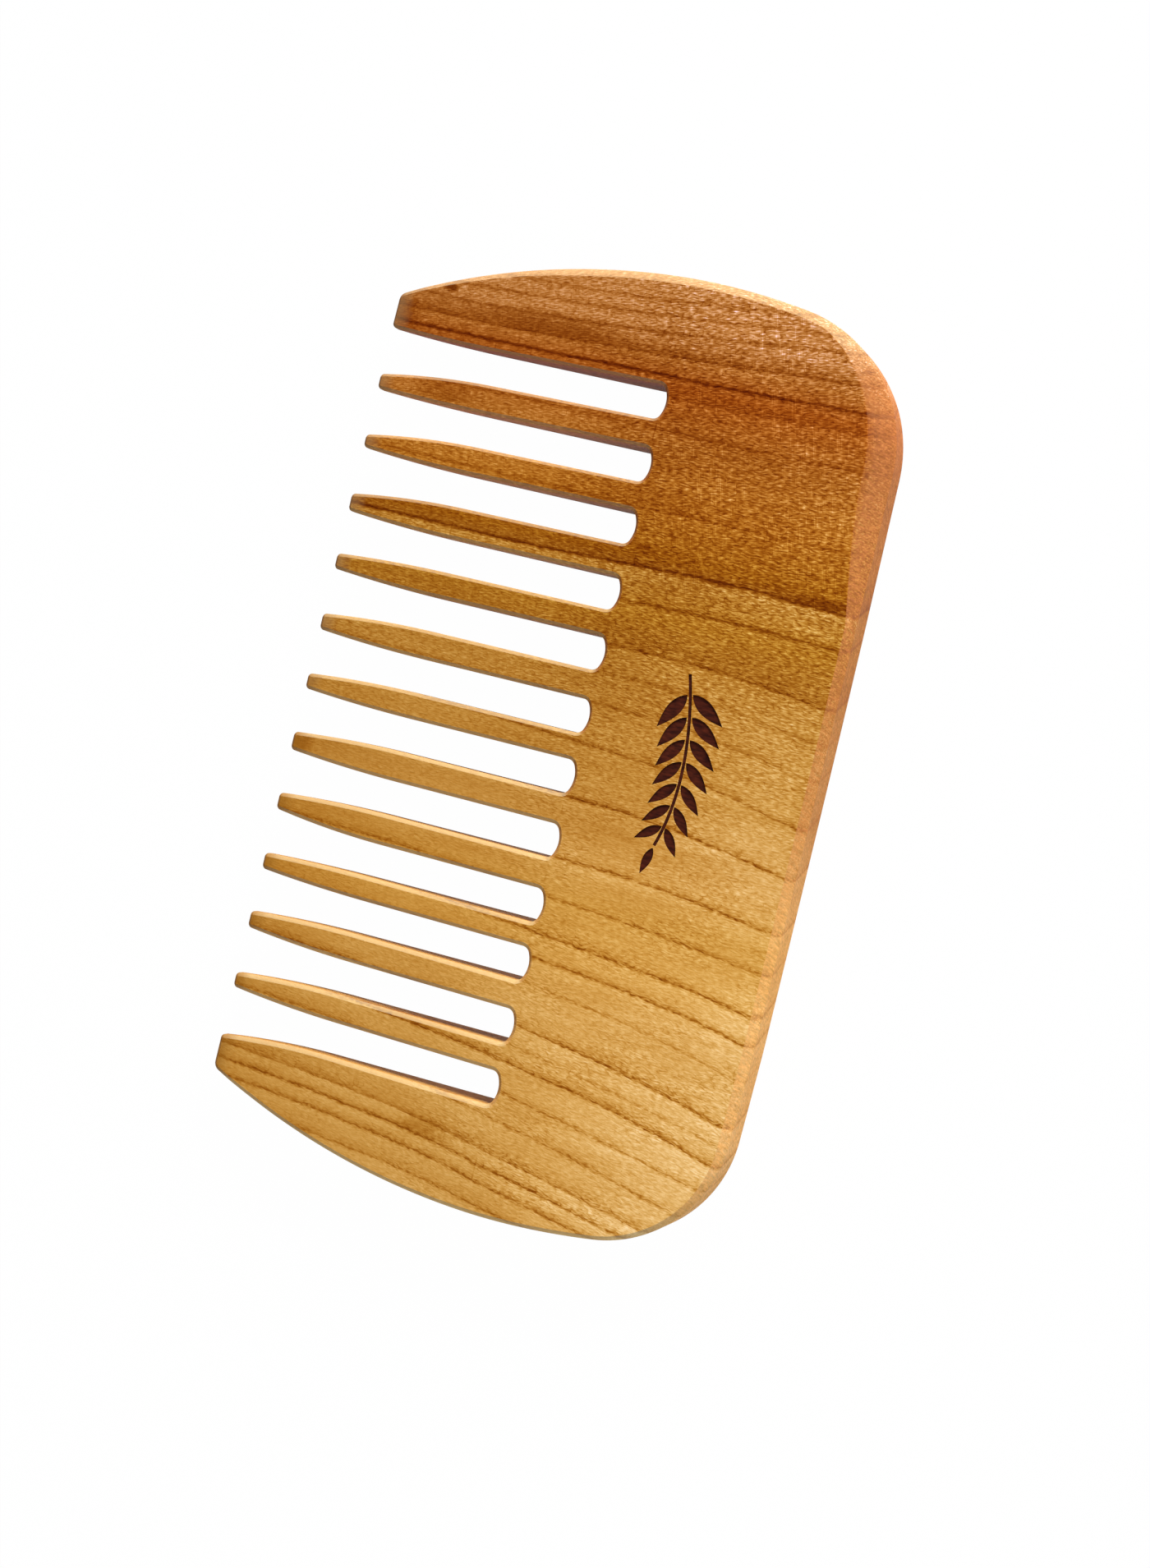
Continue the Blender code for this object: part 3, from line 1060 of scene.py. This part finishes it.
def fibre_shades(bench, place):
    """Dark strokes between zero and one, a fine ripple round zero, and pores."""
    x, y, z = place
    wave = swing(bench, place, STROKE_WAVE_DENSITY, SMOOTH) * STROKE_WAVE
    lean = rise(bench, x, RED_LEAN_START, RED_LEAN_FULL) * RED_LEAN
    lean = lean - rise(bench, x, GOLD_LEAN_START, GOLD_LEAN_FULL) * GOLD_LEAN
    leaning = (x + wave + lean * y, y, z)
    strokes = fibre_noise(bench, leaning, STROKE_GAP, STROKE_LENGTH)
    distance = strokes.math("ABSOLUTE", strokes - NOISE_MIDDLE)
    dark = rise(bench, distance, STROKE_THINNESS, 0)
    ripple = fibre_noise(bench, leaning, FINE_GAP, FINE_LENGTH) - NOISE_MIDDLE
    pores = rise(bench, fibre_noise(bench, place, PORE_GAP, PORE_LENGTH), PORE_START, PORE_FULL)
    return dark, ripple, pores


# %% [markdown]
# ## All the grain in one tone
#
# The red wood is strongly marked, and the golden wood is calmer, with crepe-like patches. So most
# marks have a strength for each of the two, and the gold share blends from one to the other.

# %% The tone of the grain
GOLD_START = -30
GOLD_FULL = 12
PATCH_DENSITY = (0.12, 0.05, 0.1)
PATCH_TONE = 0.3
STREAK_DENSITY = (0.8, 0.04, 0.8)
CREPE_DENSITY = (0.25, 0.1, 0.3)
CREPE_START = 0.42
CREPE_FULL = 0.6
CREPE_SHARE = 0.4
CREPE_IN_LATE_WOOD = 2.5
CREPE_STROKE_TONE = 0.4
CREPE_RIPPLE_TONE = 0.5
PORE_TONE = 0.08
CALM_START = 6
CALM_FULL = -12
RAGGED_START = 0.1
RAGGED_FULL = -0.08
RAGGED_LINE_TONE = 0.4
PALE_TONE = 0.25
RELIEF_LEVEL = 0.6
STROKE_RELIEF = 0.4
RIPPLE_RELIEF = 0.5
LINE_RELIEF = 0.1
PORE_RELIEF = 0.3
# Each pair is a strength in the red wood and one in the golden wood.
STROKE_TONES = (0.5, 0.08)
STREAK_TONES = (0.4, 0.3)
RIPPLE_TONES = (1.7, 0.45)
CALM_SHARES = (0.35, 0.4)
LINE_TONES = (0.95, 0.25)
LATE_TONES = (0.6, 0.8)


def fibre_tone(bench, place, gold, crepe, shades):
    """The tone of patches, streaks and fibres, which are calmer in the teeth."""
    dark, ripple, pores = shades
    rough = gold * crepe
    tone = swing(bench, place, PATCH_DENSITY, SIMPLE) * PATCH_TONE
    tone = tone + swing(bench, place, STREAK_DENSITY) * between(gold, STREAK_TONES)
    tone = tone + ripple * (between(gold, RIPPLE_TONES) + rough * CREPE_RIPPLE_TONE)
    tone = tone - dark * (between(gold, STROKE_TONES) + rough * CREPE_STROKE_TONE)
    tone = tone - pores * PORE_TONE
    in_teeth = rise(bench, place[1], CALM_START, CALM_FULL)
    return tone * (1 - in_teeth * between(gold, CALM_SHARES))


def relief_of(dark, ripple, line, pores):
    """Height of the surface, lower in strokes, lines and pores."""
    sunk = dark * STROKE_RELIEF + line * LINE_RELIEF + pores * PORE_RELIEF
    return RELIEF_LEVEL + ripple * RIPPLE_RELIEF - sunk


def grain_tone(bench, place, gold):
    """The tone of all the grain, and a height for its relief."""
    late, line, pale = ring_shades(bench, place)
    dark, ripple, pores = fibre_shades(bench, place)
    crepe = rise(bench, noise(bench, place, CREPE_DENSITY), CREPE_START, CREPE_FULL)
    crepe = clamped(crepe * CREPE_SHARE + late * CREPE_IN_LATE_WOOD)
    tone = fibre_tone(bench, place, gold, crepe, (dark, ripple, pores))
    ragged = rise(bench, ripple, RAGGED_START, RAGGED_FULL)
    tone = tone - line * (between(gold, LINE_TONES) + gold * ragged * RAGGED_LINE_TONE)
    tone = tone - late * between(gold, LATE_TONES) + pale * PALE_TONE
    return tone, relief_of(dark, ripple, line, pores)


# %% [markdown]
# ## Marks that aren't grain
#
# The faces were sanded along the comb, which left a faint weave, and a few pale scratches on the red
# end. Spots, a chip and the darker stretches of a few teeth are single marks, so each has a
# place of its own. The wood is paler near the spine, and lighter in the teeth except at the left end.
# The golden teeth and the right-hand tips are darker: painted shade where the wedge's faces tilt
# away from the lamps.

# %% Scratches
SCRATCH_SLANT = 0.256
SCRATCH_DENSITY = (0.45, 6, 0.5)
SCRATCH_START = 0.63
SCRATCH_FULL = 0.75
SCRATCH_TONE = 0.26
SCRATCHED_DENSITY = (0.11, 0.13, 0.1)
SCRATCHED_START = 0.44
SCRATCHED_FULL = 0.56
RED_END_START = -16
RED_END_FULL = -30
SCRATCHES_ABOVE = -2
SCRATCHES_FULL = 14
WEAVE_DENSITY = (0.8, 4.5, 0.5)
WEAVE_TONE = 0.05
RED_WEAVE_TONE = 0.15
RED_WEAVE_START = 0
RED_WEAVE_FULL = -30


def scratch_tone(bench, place):
    """Tone of the fine scratches and the weave that sanding left."""
    x, y, z = place
    slanted = (x, y - SCRATCH_SLANT * x, z)
    thin = rise(bench, noise(bench, slanted, SCRATCH_DENSITY, SMOOTH), SCRATCH_START, SCRATCH_FULL)
    patch = rise(bench, noise(bench, place, SCRATCHED_DENSITY), SCRATCHED_START, SCRATCHED_FULL)
    red_end = rise(bench, x, RED_END_START, RED_END_FULL)
    red_back = red_end * rise(bench, y, SCRATCHES_ABOVE, SCRATCHES_FULL)
    weave = swing(bench, slanted, WEAVE_DENSITY, SMOOTH)
    woven = WEAVE_TONE + rise(bench, x, RED_WEAVE_START, RED_WEAVE_FULL) * RED_WEAVE_TONE
    return thin * patch * red_back * SCRATCH_TONE + weave * woven


# %% Spots
SPOTS = (
    # place in mm, half its width and half its length in mm, change of tone
    ((-59.3, 31.5, 8.0), 0.8, 1.2, -0.9),
    ((-59.8, -31.4, 6.5), 0.8, 1.8, -1.0),
    ((-31.3, 6.2, 9.0), 0.4, 0.7, 0.5),
    ((-27.1, 33.5, 9.0), 0.8, 6.0, -0.6),
    ((-57.5, -16.0, 7.5), 2.0, 16.0, -0.25),
    ((-45.0, -29.0, 6.3), 2.2, 6.0, -0.25),
    ((-55.0, -37.5, 5.7), 2.6, 3.0, -0.35),
    ((9.0, -37.5, 5.7), 1.8, 2.6, -0.3),
    ((57.5, -5.0, 8.4), 1.8, 5.0, -0.25),
)
SPOT_DENSITY = (1.5, 1.5, 1.5)
SPOT_HEART = 0.4


def spot_tone(bench, place):
    """Tone of the single spots."""
    x, y, z = place
    tone = 0
    for middle, half_width, half_length, change in SPOTS:
        across = ((x - middle[0]) ** 2 + (z - middle[2]) ** 2) / half_width**2
        away = (across + ((y - middle[1]) / half_length) ** 2) ** 0.5
        ragged = away + swing(bench, place, SPOT_DENSITY)
        tone = tone + rise(bench, ragged, 1, SPOT_HEART) * change
    return tone


# %% Where the wood is paler or darker, with painted shade on the teeth
# Each pair is where a change starts and where it is full, in mm along X or Y.
NEAR_SPINE = (10, 34)
NEAR_SPINE_TONE = 0.16
IN_TEETH = (4, -10)
RED_TEETH = (-52, -46)
RED_TEETH_TONE = 0.2
# Painted shade: the golden teeth and the tips of the right-hand teeth are darkened where the wedge's
# faces tilt away from the lamps.
GOLD_TEETH = (-36, 12)
GOLD_TEETH_PAINTED_SHADE = 0.28
NEAR_TIPS = (-18, -32)
RIGHT_TEETH = (0, 9)
NEAR_TIPS_PAINTED_SHADE = 0.1


def place_tone_and_painted_shade(bench, place):
    """Tone that depends only on where the wood is, with painted shade that darkens the golden teeth and
    the right-hand tips.
    """
    x, y, _ = place
    near_spine = rise(bench, y, *NEAR_SPINE) * NEAR_SPINE_TONE
    in_teeth = rise(bench, y, *IN_TEETH)
    # Painted shade darkens the golden teeth and the right-hand tips.
    change = RED_TEETH_TONE * rise(bench, x, *RED_TEETH) - rise(bench, x, *GOLD_TEETH) * GOLD_TEETH_PAINTED_SHADE
    painted_shade_near_tips = rise(bench, y, *NEAR_TIPS) * rise(bench, x, *RIGHT_TEETH) * NEAR_TIPS_PAINTED_SHADE
    return near_spine + in_teeth * change - painted_shade_near_tips


# %% [markdown]
# ## Edges and tips
#
# Sanding leaves an edge paler than the face, and the pale rims along the grain are also a painted
# highlight. Where an edge runs across the board, its fibres are cut and show as a pinker wood with
# a fine hatch. The surface's own direction tells the two apart.

# %% Sanded edges, partly a painted highlight
# A tilt is how far the surface faces up: one on the face, zero on a wall.
# Paler sanded wood on the rounded rims, and also a painted highlight there.
SANDED_PALE_AND_HIGHLIGHT = (0.66, 0.56, 0.33, 1)
FACE_TILT = 0.985
EDGE_TILT = 0.94
WALL_TILT = 0.3
PALE_AND_HIGHLIGHT_SHARES = (0.3, 0.45)
ALONG_GRAIN = (0.75, 0.35)
ACROSS_GRAIN = (0.3, 0.8)
NEVER_ZERO = 0.001
END_GRAIN_RED = (0.50, 0.185, 0.065, 1)
END_GRAIN_GOLD = (0.76, 0.38, 0.13, 1)
END_GRAIN_TURN = (2, 20)
END_GRAIN_SHARE = 0.6
HATCH_SLANT = 0.5
HATCH_DENSITY = (3.6, 0.9, 1.1)
HATCH_DARKEST = 0.1
HATCH_RANGE = 1.8


def end_grain(bench, place):
    """Cut fibres: pinker wood with a fine hatch."""
    x, y, z = place
    hatch = noise(bench, (x + z * HATCH_SLANT, y, z), HATCH_DENSITY, ROUGH)
    pink = blend(bench, rise(bench, x, *END_GRAIN_TURN), END_GRAIN_RED, END_GRAIN_GOLD)
    return shade(bench, pink, HATCH_DARKEST + hatch * HATCH_RANGE)


def sanded_edges_and_highlights(bench, place, gold, colour):
    """The colour with its paler sanded edges, which are partly a painted highlight, and how far the
    fibres are cut across at each place.
    """
    normal = bench.node("ShaderNodeTexCoord", None, None, "Normal")
    facing_x, facing_y, facing_z = parts_of(bench, normal)
    tilt = rise(bench, facing_z, FACE_TILT, EDGE_TILT)
    across = facing_y**2 / (facing_x**2 + facing_y**2 + NEVER_ZERO)
    # Painted highlight, partly paler sanded wood: the rounded rims along the grain turn towards cream.
    rounded = tilt * rise(bench, facing_z, 0, WALL_TILT) * rise(bench, across, *ALONG_GRAIN)
    colour = blend(bench, rounded * between(gold, PALE_AND_HIGHLIGHT_SHARES), colour, SANDED_PALE_AND_HIGHLIGHT)
    cut_across = tilt * rise(bench, across, *ACROSS_GRAIN)
    return blend(bench, cut_across * END_GRAIN_SHARE, colour, end_grain(bench, place)), cut_across


# %% Painted shade on the tips
# Painted shade: the ground tips are darkened towards these grey-browns.
TIP_SHADE_LEFT = (0.36, 0.20, 0.08, 1)
TIP_SHADE_RIGHT = (0.34, 0.13, 0.012, 1)
TIP_TURN = (-4, 4)
TIP_DENSITY = (0.8, 0.8, 0.8)
TIP_UNEVENNESS = 1.6
TIP_START = -35.6
TIP_FULL = -37.6
TIP_SHADE_SHARE = 0.55


def shaded_tips(bench, place, colour):
    """The last millimetres of the teeth, darkened with painted shade where the ground tips turn away from
    the light.
    """
    x, y, _ = place
    uneven = noise(bench, place, TIP_DENSITY) * TIP_UNEVENNESS
    tip = rise(bench, y + uneven, TIP_START, TIP_FULL)
    tip_shade = blend(bench, rise(bench, x, *TIP_TURN), TIP_SHADE_LEFT, TIP_SHADE_RIGHT)
    return blend(bench, tip * TIP_SHADE_SHARE, colour, tip_shade)


# %% The wood
WOOD_ROUGHNESS = 0.56
CUT_ROUGHNESS = 0.12
RELIEF_SHINE = 0.06
WOOD_SHEEN = 0.04
FIBRE_BUMP = 0.5
FIBRE_HEIGHT = 0.03 * MM


def dress_wood(material):
    """Build the oiled fruitwood."""
    material.use_nodes = True
    material.node_tree.nodes.clear()
    bench = Bench(material.node_tree)
    place = places_in_mm(bench)
    gold = rise(bench, place[0], GOLD_START, GOLD_FULL)
    tone, relief = grain_tone(bench, place, gold)
    tone = tone + place_tone_and_painted_shade(bench, place) + scratch_tone(bench, place) + spot_tone(bench, place)
    colour = toned(bench, base_colour(bench, place[0]), tone)
    colour, cut_across = sanded_edges_and_highlights(bench, place, gold, colour)
    colour = shaded_tips(bench, place, colour)
    roughness = WOOD_ROUGHNESS + cut_across * CUT_ROUGHNESS - relief * RELIEF_SHINE
    bump_inputs = {"Strength": FIBRE_BUMP, "Distance": FIBRE_HEIGHT, "Height": relief}
    bump = bench.node("ShaderNodeBump", None, bump_inputs)
    finish = {"Roughness": roughness, "Normal": bump, "Specular IOR Level": WOOD_SHEEN}
    shader = bench.node("ShaderNodeBsdfPrincipled", None, {"Base Color": colour, **finish})
    bench.node("ShaderNodeOutputMaterial", None, {"Surface": shader})


dress_wood(fruitwood)
print("nodes in the wood:", len(fruitwood.node_tree.nodes))

# %% [markdown]
# ## Burnt wood
#
# A hot tool or a laser chars the wood in the sprig to a dark red-brown. The fibres still show in it.

# %% The charred sprig
CHAR_DARK = (0.03, 0.004, 0.002, 1)
CHAR_LIGHT = (0.11, 0.018, 0.006, 1)
CHAR_DENSITY = (1 / STROKE_GAP, 1 / STROKE_LENGTH, 1 / STROKE_GAP)
CHAR_TURN = (0.35, 0.75)
CHAR_ROUGHNESS = 0.62
CHAR_SHEEN = 0.12
CHAR_BUMP = 0.6
CHAR_HEIGHT = 0.04 * MM


def dress_burnt_wood(material):
    """Build the charred wood."""
    material.use_nodes = True
    material.node_tree.nodes.clear()
    bench = Bench(material.node_tree)
    fibres = noise(bench, places_in_mm(bench), CHAR_DENSITY, ROUGH)
    colour = blend(bench, rise(bench, fibres, *CHAR_TURN), CHAR_DARK, CHAR_LIGHT)
    bump_inputs = {"Strength": CHAR_BUMP, "Distance": CHAR_HEIGHT, "Height": fibres}
    bump = bench.node("ShaderNodeBump", None, bump_inputs)
    finish = {"Roughness": CHAR_ROUGHNESS, "Normal": bump, "Specular IOR Level": CHAR_SHEEN}
    shader = bench.node("ShaderNodeBsdfPrincipled", None, {"Base Color": colour, **finish})
    bench.node("ShaderNodeOutputMaterial", None, {"Surface": shader})


dress_burnt_wood(burnt_wood)

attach(comb, "root")
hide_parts("comb_body")

# %% [markdown]
# ## The table
#
# A catalogue picture has the comb on pure white. A lit white table would come out grey in places. So
# the camera and reflections see almost only a plain white glow on it. The rest is the lit surface,
# which keeps a faint shadow under the comb, and the lamps light it as an ordinary white table.

# %% A white table
TABLE_SIZE = 1.6
TABLE_WHITE = (0.9, 0.9, 0.9, 1)
GLOW_SHARE = 0.99
GLOW_STRENGTH = 1.0
table_mesh = bpy.data.meshes.new("table")
edge = TABLE_SIZE / 2
corners = [(-edge, -edge, 0), (edge, -edge, 0), (edge, edge, 0), (-edge, edge, 0)]
table_mesh.from_pydata(corners, [], [range(len(corners))])
table = bpy.data.objects.new("table", table_mesh)
bpy.context.scene.collection.objects.link(table)
table_white = bpy.data.materials.new("table_white")
table_white.use_nodes = True
table_white.node_tree.nodes.clear()
bench = Bench(table_white.node_tree)
lit = bench.node("ShaderNodeBsdfDiffuse", None, {"Color": TABLE_WHITE})
glow = bench.node("ShaderNodeEmission", None, {"Strength": GLOW_STRENGTH})
seen = bench.node("ShaderNodeLightPath", None, None, "Is Camera Ray")
mirrored = bench.node("ShaderNodeLightPath", None, None, "Is Glossy Ray")
share = seen.math("MAXIMUM", seen, mirrored) * GLOW_SHARE
surface = bench.node("ShaderNodeMixShader", None, {0: share, 1: lit, 2: glow})
bench.node("ShaderNodeOutputMaterial", None, {"Surface": surface})
table_mesh.materials.append(table_white)

# %% [markdown]
# ## Light
#
# The picture was lit by a large soft light low on the comb's left side, which puts a pale rim on
# every edge that faces it and leaves the far walls of the slots dark. A weaker soft light stands
# opposite, and the white room fills the rest.

# %% Lamps and the room
AIM_POINT = Vector((0, 0, BACK_THICKNESS))
LAMPS = {
    # name: place in metres, width and height in metres, power in watts
    "left_window": ((-0.75, 0.2, 0.3), (0.5, 0.35), 11.6),
    "right_window": ((0.55, 0.3, 0.6), (0.6, 0.5), 2.1),
}
ROOM_LEVEL = 0.2


def hang_lamp(name, place, size, power):
    """A soft rectangular lamp that faces the comb."""
    lamp = bpy.data.lights.new(name, "AREA")
    lamp.shape = "RECTANGLE"
    lamp.size = size[0]
    lamp.size_y = size[1]
    lamp.energy = power
    holder = bpy.data.objects.new(name, lamp)
    aim = AIM_POINT - Vector(place)
    holder.matrix_world = Matrix.Translation(place) @ aim.to_track_quat("-Z", "Y").to_matrix().to_4x4()
    bpy.context.scene.collection.objects.link(holder)


for name, (place, size, power) in LAMPS.items():
    hang_lamp(name, place, size, power)
room = bpy.data.worlds.new("room")
room.use_nodes = True
room.node_tree.nodes.clear()
bench = Bench(room.node_tree)
seen = bench.node("ShaderNodeLightPath", None, None, "Is Camera Ray")
level = ROOM_LEVEL + seen * (1 - ROOM_LEVEL)
backdrop = bench.node("ShaderNodeBackground", None, {"Color": (1, 1, 1, 1), "Strength": level})
bench.node("ShaderNodeOutputWorld", None, {"Surface": backdrop})
bpy.context.scene.world = room
bpy.context.scene.view_settings.view_transform = "Standard"
print("lamps:", list(LAMPS))

# %% [markdown]
# ## Camera
#
# The photograph looks down on the comb from beyond its spine, turned so that the teeth point left.
# The camera is placed by where it stands, what it looks at and how far it is rolled.

# %% The photograph's view
CAMERA_PLACE = Vector((-0.0054, 0.1121, 0.3723))
CAMERA_AIM = Vector((0.00503, 0.00523, 0.009))
CAMERA_ROLL = math.radians(-104.222)
SENSOR_HEIGHT = 36
FOCAL_LENGTH = 62.23
NEAREST_SEEN = 10 * MM
forward = (CAMERA_AIM - CAMERA_PLACE).normalized()
level_right = forward.cross(Vector((0, 1, 0))).normalized()
level_up = level_right.cross(forward)
up = level_up * math.cos(CAMERA_ROLL) + level_right * math.sin(CAMERA_ROLL)
right = forward.cross(up)
lens = bpy.data.cameras.new("photograph")
lens.sensor_fit = "VERTICAL"
lens.sensor_height = SENSOR_HEIGHT
lens.lens = FOCAL_LENGTH
lens.clip_start = NEAREST_SEEN
camera = bpy.data.objects.new("photograph", lens)
turned = Matrix((right, up, -forward)).transposed().to_4x4()
camera.matrix_world = Matrix.Translation(CAMERA_PLACE) @ turned
bpy.context.scene.collection.objects.link(camera)
bpy.context.scene.camera = camera
